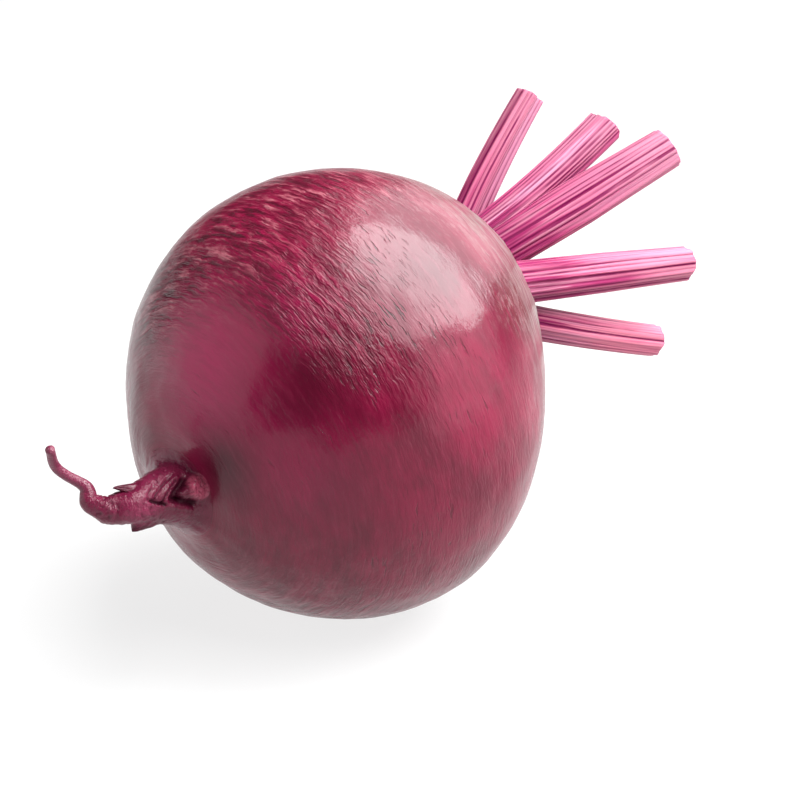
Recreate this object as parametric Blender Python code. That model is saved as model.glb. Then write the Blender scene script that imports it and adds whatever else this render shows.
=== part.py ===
"""A fresh beetroot lying on its side: a swollen root with crown and bent taproot, and five cut leaf stalks.

The root is laid out upright, as it grows: Z runs from the taproot up to the crown, and +X is the side that
ends up underneath. Everything hangs from one empty that lays it down, so that the small flat spot rests on
Z = 0 of the world. Lengths are in metres, written as millimetres times MM.
"""

import math

import bmesh
import bpy
import numpy as np
from mathutils import Matrix, Vector

MM = 0.001

# Body of the root
EQUATOR_RADIUS = 42.0 * MM
POLE_HEIGHT = 39.0 * MM
BODY_SIDES = 64
BODY_RINGS = 27
CROWN_RADIUS = 16.5 * MM
CROWN_TOP = 38.4 * MM
CROWN_RINGS = 11
FOOT_RADIUS = 8.0 * MM

# Slow swellings and flats of the body: the way each one faces, and its share of the radius
SWELLINGS = [
    ((0.17, -0.67, 0.72), -0.072),
    ((-0.48, -0.28, 0.83), 0.058),
    ((-0.72, 0.67, -0.19), -0.012),
    ((-0.17, 0.67, -0.72), -0.030),
    ((0.48, 0.28, -0.83), 0.026),
    ((0.35, 0.85, 0.40), 0.018),
    ((0.75, -0.60, 0.28), -0.006),
]
SWELLING_SHARPNESS = 5.0
SWELLING_FADE = 0.2

# Lying down: the axis rises towards the crown, and the underside is cut to a small flat spot
AXIS_RISE = math.radians(13.0)
FLAT_DEPTH = 0.8 * MM

# Taproot: the route its middle follows below the body, and its radius at distances along that route
TAPROOT_SIDES = 24
TAPROOT_RINGS = 46
TAPROOT_ROUTE = [
    (0.0, -0.4, -38.1),
    (-1.9, -1.6, -41.5),
    (-3.4, -2.1, -45.8),
    (-4.4, -2.0, -49.9),
    (-5.2, -0.1, -53.5),
    (-6.7, 2.2, -54.8),
    (-8.9, 3.7, -54.2),
    (-11.2, 6.1, -55.8),
    (-13.9, 6.7, -57.2),
    (-18.25, 5.2, -58.1),
]
TAPROOT_RADII = [
    (0.0, 7.0),
    (1.4, 6.0),
    (4.2, 5.3),
    (9.0, 4.25),
    (12.6, 3.45),
    (14.1, 3.05),
    (16.1, 2.8),
    (17.8, 2.35),
    (19.8, 1.85),
    (21.8, 1.45),
    (23.0, 1.2),
    (24.1, 1.05),
    (26.4, 0.93),
    (35.0, 0.85),
]
TAPROOT_POINT = 0.4 * MM
CURVE_STEPS = 40

# Creases round the thick part of the taproot: where they start and stop, and how fast they come and go
CREASE_DEPTH = 0.16 * MM
CREASE_SPACING = 2.3 * MM
CREASE_START = 5.0 * MM
CREASE_RISE = 4.0 * MM
CREASE_STOP = 22.0 * MM
CREASE_FALL = 3.0 * MM

# Leaf scars: crescents on the crown, in the spiral that leaves grow in
GOLDEN_ANGLE = math.radians(137.5)
SCAR_COUNT = 26
SCAR_FIRST = 0.6
SCAR_SPREAD = 0.98
SCAR_HEIGHT = 1.3 * MM
SCAR_THICKNESS = 1.1 * MM
SCAR_HALF_WIDTH = 4.4 * MM
SCAR_INNER_SHARE = 0.35
SCAR_TIGHTEST_BEND = 3.0 * MM
SCAR_FADE = 3.0

# Leaf stalks: foot on the crown, the point that bends the middle line, tip, width at foot, middle and tip,
# thickness at foot and tip, and the knife cuts that end it, each by its slope and the way it slopes round
# the stalk, both in degrees, and by how far it stands off the tip
STALKS = [
    {
        "foot": (-1.3, 11.1),
        "bend": (-13.4, 16.6, 55.6),
        "tip": (-25.3, 17.3, 73.8),
        "width": (7.6, 7.2, 5.7),
        "thickness": (6.4, 6.0),
        "cuts": [(4, 0, 0.0)],
    },
    {
        "foot": (-8.7, 6.0),
        "bend": (-11.0, 4.8, 58.4),
        "tip": (-17.5, 5.0, 81.5),
        "width": (7.2, 7.1, 7.0),
        "thickness": (7.2, 8.1),
        "cuts": [(3, 90, 0.0), (52, 270, 2.3), (46, 90, 2.2)],
    },
    {
        "foot": (-10.2, -2.6),
        "bend": (-14.7, -8.1, 58.5),
        "tip": (-17.9, -12.6, 80.1),
        "width": (9.2, 10.6, 8.9),
        "thickness": (6.6, 6.6),
        "cuts": [(6, 30, 0.0)],
    },
    {
        "foot": (-8.7, -11.6),
        "bend": (-3.2, -15.5, 55.1),
        "tip": (2.2, -20.6, 73.3),
        "width": (8.0, 7.5, 6.5),
        "thickness": (6.2, 6.2),
        "cuts": [(3, 180, 0.0), (40, 0, 1.6), (40, 180, 1.6)],
    },
    {
        "foot": (-0.2, -9.4),
        "bend": (9.6, -13.4, 52.5),
        "tip": (17.4, -16.2, 66.4),
        "width": (6.6, 6.4, 6.2),
        "thickness": (5.6, 5.6),
        "cuts": [(13, 180, 0.0), (26, 0, -0.1)],
    },
]
STALK_SIDES = 36
STALK_RINGS = 11
STALK_END_SHARES = (1.0, 0.66, 0.33)
STALK_FOOT_DROP = 2.6 * MM
STALK_SINK = 2.2 * MM
GAP = 0.3 * MM

# Across a stalk: its ridges, how round its sides are, and the channel on its inner side
STALK_RIDGES = 9
RIDGE_HEIGHT = 0.04
ROUNDNESS = 0.85
INNER_SHARE = 0.8
CHANNEL_DEPTH = 0.30
CHANNEL_WIDTH = 0.42

# Broken side roots: place along the taproot, side, length, radius at foot and end, and lean towards the tip
SIDE_ROOTS = [
    {"along": 12.3, "side": 172.0, "length": 3.3, "radius": 0.8, "end": 0.35, "lean": 79.0},
    {"along": 10.3, "side": 4.0, "length": 2.6, "radius": 1.2, "end": 0.35, "lean": 84.0},
    {"along": 3.2, "side": 250.0, "length": 1.1, "radius": 2.2, "end": 1.6, "lean": 10.0},
    {"along": 7.5, "side": 92.0, "length": 1.2, "radius": 0.9, "end": 0.5, "lean": 35.0},
    {"along": 4.5, "side": 55.0, "length": 1.3, "radius": 1.0, "end": 0.6, "lean": 15.0},
]
SIDE_ROOT_SIDES = 8
SIDE_ROOT_SINK = 2.0 * MM

# Finishes: colour and roughness
FINISHES = {"beet_skin": ((0.16, 0.012, 0.035), 0.38), "leaf_stalk": ((0.62, 0.12, 0.25), 0.42)}
SMOOTH_UP_TO = math.radians(50)
TOUCHING = 1e-7


def clear_scene():
    for obj in list(bpy.data.objects):
        bpy.data.objects.remove(obj, do_unlink=True)


def material(name):
    colour, roughness = FINISHES[name]
    made = bpy.data.materials.new(name)
    made.use_nodes = True
    shader = made.node_tree.nodes["Principled BSDF"]
    shader.inputs["Base Color"].default_value = (*colour, 1.0)
    shader.inputs["Roughness"].default_value = roughness
    shader.inputs["Metallic"].default_value = 0.0
    return made


def curve_through(points, count):
    """count points, evenly spaced, on a smooth Catmull-Rom curve through the given ones, and its length."""
    given = np.array(points, float)
    padded = np.vstack([2 * given[0] - given[1], given, 2 * given[-1] - given[-2]])
    fine = []
    steps = np.linspace(0, 1, CURVE_STEPS, endpoint=False)[:, None]
    for a, b, c, d in zip(padded, padded[1:], padded[2:], padded[3:]):
        square = (2 * a - 5 * b + 4 * c - d) * steps**2
        cube = (3 * b - a - 3 * c + d) * steps**3
        fine.append(0.5 * (2 * b + (c - a) * steps + square + cube))
    fine = np.vstack([*fine, given[-1:]])
    lengths = np.concatenate([[0.0], np.cumsum(np.linalg.norm(np.diff(fine, axis=0), axis=1))])
    places = np.linspace(0, lengths[-1], count)
    even = [np.interp(places, lengths, fine[:, k]) for k in range(3)]
    return np.column_stack(even), lengths[-1]


def frames_along(points, first_side):
    """At each point, the unit tangent and two sides that don't twist about it."""
    tangents = np.gradient(points, axis=0)
    tangents /= np.linalg.norm(tangents, axis=1)[:, None]
    side = np.array(first_side, float)
    frames = []
    for tangent in tangents:
        side = side - tangent * (side @ tangent)
        side /= np.linalg.norm(side)
        frames.append((tangent, side, np.cross(tangent, side)))
    return frames


def circle_angles(count):
    return np.arange(count) * 2 * math.pi / count


def swollen(points):
    """Moves points of the plain body by the slow swellings, which fade where the taproot starts."""
    facing = points / np.linalg.norm(points, axis=1)[:, None]
    share = np.zeros(len(points))
    for towards, amount in SWELLINGS:
        share += amount * np.exp(SWELLING_SHARPNESS * (facing @ np.array(towards) - 1))
    fade = np.clip((1 + facing[:, 2]) / SWELLING_FADE, 0, 1)
    return points * (1 + share * fade**2 * (3 - 2 * fade))[:, None]


def scar_relief(x, y):
    """Height of the leaf scars at a place on the crown."""
    height = np.zeros_like(x)
    for k in range(SCAR_COUNT):
        ring = CROWN_RADIUS * SCAR_SPREAD * math.sqrt((k + SCAR_FIRST) / SCAR_COUNT)
        turn = k * GOLDEN_ANGLE
        radial = x * math.cos(turn) + y * math.sin(turn)
        across = -x * math.sin(turn) + y * math.cos(turn)
        outer_share = (1 - SCAR_INNER_SHARE) * ring / CROWN_RADIUS
        half_width = SCAR_HALF_WIDTH * (SCAR_INNER_SHARE + outer_share)
        bend = ring - across**2 / (2 * max(ring, SCAR_TIGHTEST_BEND))
        crescent = np.exp(-(((radial - bend) / SCAR_THICKNESS) ** 2) - (across / half_width) ** 4)
        height = np.maximum(height, SCAR_HEIGHT * crescent)
    return height


def crown_rings():
    """Rings of the crown, from its middle outwards, down to where the body's shoulder starts."""
    shoulder_height = POLE_HEIGHT * math.sin(math.acos(CROWN_RADIUS / EQUATOR_RADIUS))
    angle = circle_angles(BODY_SIDES)
    rings = []
    for share in np.linspace(0, 1, CROWN_RINGS + 1)[1:-1]:
        x = CROWN_RADIUS * share * np.cos(angle)
        y = CROWN_RADIUS * share * np.sin(angle)
        dome = shoulder_height + (CROWN_TOP - shoulder_height) * (1 - share**2)
        z = dome + scar_relief(x, y) * min(1.0, SCAR_FADE * (1 - share))
        rings.append(swollen(np.column_stack([x, y, z])))
    return rings


def body_rings():
    """Rings of the body, from the shoulder down to the foot that the taproot grows from."""
    angle = circle_angles(BODY_SIDES)
    top = math.acos(CROWN_RADIUS / EQUATOR_RADIUS)
    bottom = -math.acos(FOOT_RADIUS / EQUATOR_RADIUS)
    rings = []
    for latitude in np.linspace(top, bottom, BODY_RINGS):
        radius = EQUATOR_RADIUS * math.cos(latitude)
        z = np.full(BODY_SIDES, POLE_HEIGHT * math.sin(latitude))
        rings.append(swollen(np.column_stack([radius * np.cos(angle), radius * np.sin(angle), z])))
    return rings


def taproot_middle():
    """The taproot's middle line, its frames, and the distance along it of each point."""
    points, length = curve_through(np.array(TAPROOT_ROUTE) * MM, TAPROOT_RINGS)
    return points, frames_along(points, (1, 0, 0)), np.linspace(0, length, TAPROOT_RINGS)


def taproot_radius(along):
    """Radius of the taproot at a distance along it, with the creases that run round its thick part."""
    table = np.array(TAPROOT_RADII) * MM
    smooth = np.interp(along, table[:, 0], table[:, 1])
    coming = np.clip((along - CREASE_START) / CREASE_RISE, 0, 1)
    going = np.clip((CREASE_STOP - along) / CREASE_FALL, 0, 1)
    return smooth + CREASE_DEPTH * coming * going * np.sin(2 * math.pi * along / CREASE_SPACING)


def taproot_rings():
    points, frames, along = taproot_middle()
    angle = circle_angles(TAPROOT_SIDES)
    rings = []
    for point, (_, side, other), distance in zip(points, frames, along):
        # The frame's second side runs backwards because the route goes down.
        outwards = np.outer(np.cos(angle), side) - np.outer(np.sin(angle), other)
        rings.append(point + taproot_radius(distance) * outwards)
    return rings[1:]


def add_ring(bm, ring):
    return [bm.verts.new(tuple(point)) for point in ring]


def skin_between(bm, upper, lower):
    """Quads between two rings of the same count, facing outwards when upper is nearer the crown."""
    count = len(upper)
    for k in range(count):
        after = (k + 1) % count
        bm.faces.new((upper[k], lower[k], lower[after], upper[after]))


def close_with_fan(bm, ring, middle, facing_up):
    count = len(ring)
    tip = bm.verts.new(tuple(middle))
    for k in range(count):
        after = (k + 1) % count
        bm.faces.new((tip, ring[k], ring[after]) if facing_up else (tip, ring[after], ring[k]))


def loop_edges(ring):
    found = []
    for k, vert in enumerate(ring):
        after = ring[(k + 1) % len(ring)]
        found.append(next(e for e in vert.link_edges if e.other_vert(vert) is after))
    return found


def object_from(bm, name, finish, parent=None):
    mesh = bpy.data.meshes.new(name)
    bmesh.ops.recalc_face_normals(bm, faces=bm.faces)
    bm.to_mesh(mesh)
    bm.free()
    mesh.shade_smooth()
    mesh.set_sharp_from_angle(angle=SMOOTH_UP_TO)
    obj = bpy.data.objects.new(name, mesh)
    bpy.context.scene.collection.objects.link(obj)
    if finish:
        mesh.materials.append(finish)
    obj.parent = parent
    return obj


def root_mesh():
    """Crown, body and taproot as one closed skin."""
    bm = bmesh.new()
    upper = [add_ring(bm, ring) for ring in crown_rings() + body_rings()]
    for a, b in zip(upper, upper[1:]):
        skin_between(bm, a, b)
    middle = np.array([[0, 0, CROWN_TOP]])
    middle[0, 2] += scar_relief(middle[:, 0], middle[:, 1])[0]
    close_with_fan(bm, upper[0], swollen(middle)[0], facing_up=True)
    lower = [add_ring(bm, ring) for ring in taproot_rings()]
    for a, b in zip(lower, lower[1:]):
        skin_between(bm, a, b)
    points, frames, _ = taproot_middle()
    close_with_fan(bm, lower[-1], points[-1] + frames[-1][0] * TAPROOT_POINT, facing_up=False)
    bmesh.ops.bridge_loops(bm, edges=loop_edges(upper[-1]) + loop_edges(lower[0]))
    bmesh.ops.triangulate(bm, faces=[f for f in bm.faces if len(f.verts) > 3])
    return bm


def cut_flat_spot(bm, down, depth):
    """Cuts off the lowest part of the mesh, square to down, and closes it with one flat face."""
    lowest = max(down.dot(v.co) for v in bm.verts)
    place = down * (lowest - depth)
    everything = [*bm.verts, *bm.edges, *bm.faces]
    bmesh.ops.bisect_plane(
        bm, geom=everything, dist=TOUCHING, plane_co=place, plane_no=down, clear_outer=True
    )
    bmesh.ops.holes_fill(bm, edges=[e for e in bm.edges if e.is_boundary], sides=0)
    return lowest - depth


def side_root_mesh(spec):
    """A broken side root: a short cone that leans towards the taproot's tip and ends blunt."""
    points, frames, along = taproot_middle()
    k = int(np.argmin(np.abs(along - spec["along"] * MM)))
    tangent, side, other = frames[k]
    turn, lean = math.radians(spec["side"]), math.radians(spec["lean"])
    out = math.cos(turn) * side - math.sin(turn) * other
    direction = Vector(out * math.cos(lean) + tangent * math.sin(lean)).normalized()
    foot = Vector(points[k] + out * taproot_radius(along[k])) - direction * SIDE_ROOT_SINK
    length = spec["length"] * MM + SIDE_ROOT_SINK
    placed = Matrix.Translation(foot + direction * length / 2)
    turned = direction.to_track_quat("Z", "Y").to_matrix().to_4x4()
    bm = bmesh.new()
    bmesh.ops.create_cone(
        bm,
        cap_ends=True,
        segments=SIDE_ROOT_SIDES,
        radius1=spec["radius"] * MM,
        radius2=spec["end"] * MM,
        depth=length,
        matrix=placed @ turned,
    )
    return bm


def fuse(target, bms, name):
    """Joins the meshes to the target with one Boolean union on a collection, applied."""
    group = bpy.data.collections.new(name)
    bpy.context.scene.collection.children.link(group)
    for k, bm in enumerate(bms):
        piece = object_from(bm, f"{name}_{k + 1}", None)
        bpy.context.scene.collection.objects.unlink(piece)
        group.objects.link(piece)
    union = target.modifiers.new(name, "BOOLEAN")
    union.operation = "UNION"
    union.operand_type = "COLLECTION"
    union.collection = group
    apply_modifiers(target)
    for piece in list(group.objects):
        bpy.data.objects.remove(piece, do_unlink=True)
    bpy.data.collections.remove(group)


def apply_modifiers(obj):
    graph = bpy.context.evaluated_depsgraph_get()
    made = bpy.data.meshes.new_from_object(obj.evaluated_get(graph))
    old = obj.data
    obj.modifiers.clear()
    obj.data = made
    made.name = obj.name
    bpy.data.meshes.remove(old)


def stalk_middle(spec):
    """The stalk's middle line, from its foot, sunk in the crown, to its cut end, and the way out from it."""
    foot = np.array([*spec["foot"], 0.0]) * MM
    foot[2] = CROWN_TOP - (np.hypot(foot[0], foot[1]) / CROWN_RADIUS) ** 2 * STALK_FOOT_DROP
    foot = swollen(foot[None])[0]
    bend, tip = np.array(spec["bend"]) * MM, np.array(spec["tip"]) * MM
    t = np.linspace(0, 1, STALK_RINGS)[:, None]
    points = foot * (1 - t) ** 2 + 2 * bend * t * (1 - t) + tip * t**2
    start = points[0] - points[1]
    points[0] += start / np.linalg.norm(start) * STALK_SINK
    outward = np.array([*spec["foot"], 0.0])
    return points, outward / np.linalg.norm(outward)


def stalk_section(share, spec, grow=0.0):
    """The outline across a stalk: ridged and round outside, flatter with a shallow channel inside."""
    t = circle_angles(STALK_SIDES)
    ridges = 1 + RIDGE_HEIGHT * np.cos(STALK_RIDGES * t)
    width = np.interp(share, (0.0, 0.5, 1.0), spec["width"]) * MM
    thickness = np.interp(share, (0.0, 1.0), spec["thickness"]) * MM
    across = width / 2 * np.cos(t) * ridges
    channel = CHANNEL_DEPTH * np.exp(-((np.cos(t) / CHANNEL_WIDTH) ** 2))
    full = np.sign(np.sin(t)) * np.abs(np.sin(t)) ** ROUNDNESS
    outside = np.where(full > 0, full, full * INNER_SHARE + channel)
    out = thickness / (1 + INNER_SHARE) * outside * ridges
    along_across = np.roll(across, -1) - np.roll(across, 1)
    along_out = np.roll(out, -1) - np.roll(out, 1)
    length = np.hypot(along_across, along_out)
    return across + grow * along_out / length, out - grow * along_across / length


def cut_end(spec, across, out):
    """How far the cut end stands off the tip at places across the stalk: the lowest of the knife cuts."""
    heights = []
    for slope, way, stand in spec["cuts"]:
        towards = across * math.cos(math.radians(way)) + out * math.sin(math.radians(way))
        heights.append(stand * MM - towards * math.tan(math.radians(slope)))
    return np.min(heights, axis=0)


def stalk_mesh(spec, grow=0.0):
    """A stalk as one closed skin, or that skin moved out by grow, to cut its socket with."""
    points, outward = stalk_middle(spec)
    frames = frames_along(points, outward)
    points[0] -= frames[0][0] * grow
    bm = bmesh.new()
    rings = []
    for k in range(STALK_RINGS - 1):
        _, side, other = frames[k]
        across, out = stalk_section(k / (STALK_RINGS - 1), spec, grow)
        rings.append(add_ring(bm, points[k] + np.outer(across, other) + np.outer(out, side)))
    tangent, side, other = frames[-1]
    across, out = stalk_section(1.0, spec, grow)
    for share in STALK_END_SHARES:
        stand = cut_end(spec, across * share, out * share)
        flat = np.outer(across * share, other) + np.outer(out * share, side)
        rings.append(add_ring(bm, points[-1] + flat + np.outer(stand, tangent)))
    for a, b in zip(rings, rings[1:]):
        skin_between(bm, b, a)
    bm.faces.new(rings[0])
    middle = points[-1] + tangent * float(cut_end(spec, 0.0, 0.0))
    close_with_fan(bm, rings[-1], middle, facing_up=True)
    return bm


def cut_socket(root, spec, name):
    """A shallow socket in the crown, a small gap wider than the stalk that stands in it."""
    cutter = object_from(stalk_mesh(spec, grow=GAP), name, None)
    cut = root.modifiers.new(name, "BOOLEAN")
    cut.operation = "DIFFERENCE"
    cut.object = cutter
    apply_modifiers(root)
    bpy.data.objects.remove(cutter, do_unlink=True)


def build_root(finish):
    """The whole root with its side roots and sockets, and how far its flat spot lies below its axis."""
    down = Vector((math.cos(AXIS_RISE), 0, -math.sin(AXIS_RISE)))
    bm = root_mesh()
    rest = cut_flat_spot(bm, down, FLAT_DEPTH)
    root = object_from(bm, "root", finish)
    fuse(root, [side_root_mesh(spec) for spec in SIDE_ROOTS], "side_roots")
    for k, spec in enumerate(STALKS):
        cut_socket(root, spec, f"socket_{k + 1}")
    return root, rest


def lay_down(rest):
    laid = bpy.data.objects.new("laid_down", None)
    bpy.context.scene.collection.objects.link(laid)
    laid.rotation_euler = (0, math.pi / 2 - AXIS_RISE, 0)
    laid.location = (0, 0, rest)
    return laid


def main():
    clear_scene()
    root, rest = build_root(material("beet_skin"))
    laid = lay_down(rest)
    root.parent = laid
    stalk_finish = material("leaf_stalk")
    for k, spec in enumerate(STALKS):
        object_from(stalk_mesh(spec), f"leaf_stalk_{k + 1}", stalk_finish, laid)


main()
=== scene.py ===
"""Dresses the beetroot: the fine skin of the root, the ribbed leaf stalks, materials, light and camera.

Shapes are worked out upright, as the root grows, in millimetres: Z runs from the taproot up to
the crown, and +X is the side that ends up underneath. laid_down() turns them into the part's
own frame, in metres.
"""

import math

import bpy
import numpy as np
from mathutils import Matrix, Vector, noise

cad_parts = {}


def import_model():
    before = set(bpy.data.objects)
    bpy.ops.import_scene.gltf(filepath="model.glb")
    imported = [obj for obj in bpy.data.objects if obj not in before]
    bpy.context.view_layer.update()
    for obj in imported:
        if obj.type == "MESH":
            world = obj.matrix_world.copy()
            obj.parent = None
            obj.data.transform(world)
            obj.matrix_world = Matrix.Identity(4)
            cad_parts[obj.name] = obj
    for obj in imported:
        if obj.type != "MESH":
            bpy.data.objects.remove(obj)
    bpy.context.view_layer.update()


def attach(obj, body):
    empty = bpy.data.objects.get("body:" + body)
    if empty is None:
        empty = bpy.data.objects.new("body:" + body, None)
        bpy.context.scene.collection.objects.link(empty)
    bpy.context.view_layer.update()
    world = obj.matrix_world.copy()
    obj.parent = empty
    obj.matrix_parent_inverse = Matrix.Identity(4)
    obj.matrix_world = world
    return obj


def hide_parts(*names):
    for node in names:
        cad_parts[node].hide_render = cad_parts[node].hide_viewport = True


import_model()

MM = 0.001

# Body of the root, in the part's own values
EQUATOR_RADIUS = 42.0
POLE_HEIGHT = 39.0
CROWN_RADIUS = 16.5
CROWN_TOP = 38.4
FOOT_RADIUS = 8.0
SWELLINGS = [
    ((0.17, -0.67, 0.72), -0.072),
    ((-0.48, -0.28, 0.83), 0.058),
    ((-0.72, 0.67, -0.19), -0.012),
    ((-0.17, 0.67, -0.72), -0.030),
    ((0.48, 0.28, -0.83), 0.026),
    ((0.35, 0.85, 0.40), 0.018),
    ((0.75, -0.60, 0.28), -0.006),
]
SWELLING_SHARPNESS = 5.0
AXIS_RISE = math.radians(13.0)
REST_HEIGHT = 41.159

# Taproot: its middle line, and its radius at distances along that line
TAPROOT_ROUTE = [
    (0.0, -0.4, -38.1),
    (-1.9, -1.6, -41.5),
    (-3.4, -2.1, -45.8),
    (-4.4, -2.0, -49.9),
    (-5.2, -0.1, -53.5),
    (-6.7, 2.2, -54.8),
    (-8.9, 3.7, -54.2),
    (-11.2, 6.1, -55.8),
    (-13.9, 6.7, -57.2),
    (-18.25, 5.2, -58.1),
]
TAPROOT_RADII = [
    (0.0, 7.0),
    (1.4, 6.0),
    (4.2, 5.3),
    (9.0, 4.25),
    (12.6, 3.45),
    (14.1, 3.05),
    (16.1, 2.8),
    (17.8, 2.35),
    (19.8, 1.85),
    (21.8, 1.45),
    (23.0, 1.2),
    (24.1, 1.05),
    (26.4, 0.93),
    (35.0, 0.85),
]

# Leaf scars, in the spiral that leaves grow in
GOLDEN_ANGLE = math.radians(137.5)
SCAR_COUNT = 26
SCAR_HEIGHT = 1.3
SCAR_THICKNESS = 1.1
SCAR_HALF_WIDTH = 4.4

# Leaf stalks, with places round a stalk in degrees. Each runs from its foot on the crown, towards its
# bend, to its tip. The width is at the foot, the middle and the tip, the thickness at the foot and the
# tip. A cut is (slope, way it falls, how far it stands off the tip), a groove (place, width, strength)
# and a band (place, width, paler or darker, where it starts, where it stops); paler bands are painted
# highlight and painted light. Flush is the share of a warmer, brighter pink, partly the stalk's own
# colour and partly painted light.
STALKS = [
    {
        "foot": (-1.3, 11.1),
        "bend": (-13.4, 16.6, 55.6),
        "tip": (-25.3, 17.3, 73.8),
        "width": (7.6, 7.2, 5.7),
        "thickness": (6.4, 6.0),
        "cuts": [(4, 0, 0.0)],
        "flush_and_light": 0.2,
        "grooves": [
            (31, 4, 0.6), (3, 4, 0.8), (342, 3, 0.4), (322, 4.5, 0.9),
            (302, 3, 0.35), (269, 3, 0.5), (240, 3, 0.3),
        ],
        "bands": [(255, 34, 0.6, 0.1, 1.2), (12, 10, -0.4, -0.2, 0.8)],
    },
    {
        "foot": (-8.7, 6.0),
        "bend": (-11.0, 4.8, 58.4),
        "tip": (-17.5, 5.0, 81.5),
        "width": (7.2, 7.1, 7.0),
        "thickness": (7.2, 8.1),
        "cuts": [(3, 90, 0.0), (52, 270, 2.3), (46, 90, 2.2)],
        "flush_and_light": 0.0,
        "grooves": [
            (70, 3, 0.6), (56, 3, 0.9), (40, 2.5, 0.5), (13, 3, 0.9),
            (4, 2.5, 0.8), (354, 2.5, 0.9), (344, 3, 0.8), (332, 3, 1.0),
        ],
        "bands": [(26, 9, 1.3, 0.05, 1.0), (326, 16, -0.8, 0.3, 1.2), (50, 12, -0.4, -0.2, 0.7)],
    },
    {
        "foot": (-10.2, -2.6),
        "bend": (-14.7, -8.1, 58.5),
        "tip": (-17.9, -12.6, 80.1),
        "width": (9.2, 10.6, 8.9),
        "thickness": (6.6, 6.6),
        "cuts": [(6, 30, 0.0)],
        "flush_and_light": 0.1,
        "grooves": [
            (116, 3, 0.5), (100, 3, 0.6), (84, 3, 0.5), (72, 3.5, 0.95),
            (57, 3, 0.5), (43, 4.5, 1.2), (27, 3, 0.6), (12, 3, 0.4),
        ],
        "bands": [(62, 26, -0.6, -0.3, 0.38), (92, 14, 0.35, 0.3, 1.2), (20, 16, 0.35, 0.35, 1.2)],
    },
    {
        "foot": (-8.7, -11.6),
        "bend": (-3.2, -15.5, 55.1),
        "tip": (2.2, -20.6, 73.3),
        "width": (8.0, 7.5, 6.5),
        "thickness": (6.2, 6.2),
        "cuts": [(3, 180, 0.0), (40, 0, 1.6), (40, 180, 1.6)],
        "flush_and_light": 0.4,
        "grooves": [(126, 3, 0.4), (106, 3, 0.6), (92, 3, 0.6), (71, 3.5, 0.9), (54, 3, 0.5), (10, 5, 0.6)],
        "bands": [(50, 17, -0.9, -0.3, 0.75), (120, 20, 0.5, 0.2, 1.2)],
    },
    {
        "foot": (-0.2, -9.4),
        "bend": (9.6, -13.4, 52.5),
        "tip": (17.4, -16.2, 66.4),
        "width": (6.6, 6.4, 6.2),
        "thickness": (5.6, 5.6),
        "cuts": [(13, 180, 0.0), (26, 0, -0.1)],
        "flush_and_light": 0.9,
        "grooves": [(144, 3, 0.3), (122, 4, 0.45), (99, 4, 0.8), (75, 3, 0.35), (54, 3, 0.4)],
        "bands": [(150, 20, 0.4, -0.3, 1.3)],
    },
]
STALK_RIDGES = 9
STALK_SINK = 2.2
CROWN_DROP = 2.6
BAND_FADE = 0.2
RIDGE_HEIGHT = 0.04
INNER_SHARE = 0.8
CHANNEL_DEPTH = 0.30
CHANNEL_WIDTH = 0.42
GROOVE_CUT = 0.075
RIM_DROP = 0.12
RIM_ANGLE = math.radians(50.0)
CUT_ROUGHNESS = 0.07

# Grooves that fill the gaps between a stalk's own, and hairlines all round: how many, how many degrees
# apart, width and strength
PLAIN_GROOVES = (19, 19, 3, 0.5)
PLAIN_CLEARANCE = 9
HAIRLINES = (46, 7.7, 1.6, 0.28)

# Rings of a cut end, as shares of the stalk's outline
END_SHARES = (1.0, 0.97, 0.9, 0.78, 0.64, 0.5, 0.36, 0.22, 0.1)

# The stalks' pattern runs lengthwise on a rod of this radius, one shift further on for each stalk
FIBRE_RADIUS = 3.4
FIBRE_SHIFT = 40.0

# Broken side roots
SIDE_ROOTS = [
    {"along": 12.3, "side": 172.0, "length": 3.1, "radius": 1.05, "end": 0.3, "lean": 79.0},
    {"along": 10.3, "side": 4.0, "length": 2.3, "radius": 1.7, "end": 0.5, "lean": 67.0},
    {"along": 3.2, "side": 250.0, "length": 1.4, "radius": 2.2, "end": 1.6, "lean": 10.0},
    {"along": 7.5, "side": 92.0, "length": 1.2, "radius": 0.9, "end": 0.5, "lean": 35.0},
    {"along": 4.5, "side": 55.0, "length": 1.3, "radius": 1.0, "end": 0.6, "lean": 15.0},
]

# Mesh density of the fine skin
BODY_SIDES = 300
CROWN_RINGS = 34
BODY_RINGS = 216
TAPROOT_SIDES = 150
TAPROOT_RINGS = 132
STALK_SIDES = 144
STALK_RINGS = 60

# Relief of the fine skin, in millimetres
WAVE_HEIGHT = 0.28
WRINKLE_HEIGHT = 0.08
FOLD_HEIGHT = 0.12
CORK_GRAIN_HEIGHT = 0.16
CORK_RIDGE_HEIGHT = 0.40
BULGE_HEIGHT = 0.30
RING_DEPTH = 0.10
BEND_RING_DEPTH = 0.20
THIN_LINE_HEIGHT = 0.07

# Heights over which the corky relief and the leaf scars of the crown set in
CROWN_FROM, CROWN_TO = 29, 35
SCARS_FROM, SCARS_TO = 33, 35

# Distances along the taproot: its first ring, its bend, where it grows thin, and its tip past the last ring
TAPROOT_START = 0.7
BEND_FROM, BEND_TO = 11.0, 14.0
THIN_FROM, THIN_TO = 20.5, 24.0
TIP_REACH = 0.4

# The fillet where the taproot starts: full up to the first distance from there, gone at the second
FILLET_FULL, FILLET_END = 1.5, 6.5
FILLET_ROUNDS = 160
FILLET_STEP = 0.6


def laid_down(points):
    """Upright millimetres to the part's own frame, in metres."""
    turn = math.pi / 2 - AXIS_RISE
    x, y, z = np.asarray(points, float).T
    world = np.column_stack([x * math.cos(turn) + z * math.sin(turn), y, -x * math.sin(turn) + z * math.cos(turn)])
    world[:, 2] += REST_HEIGHT
    return world * MM


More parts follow.
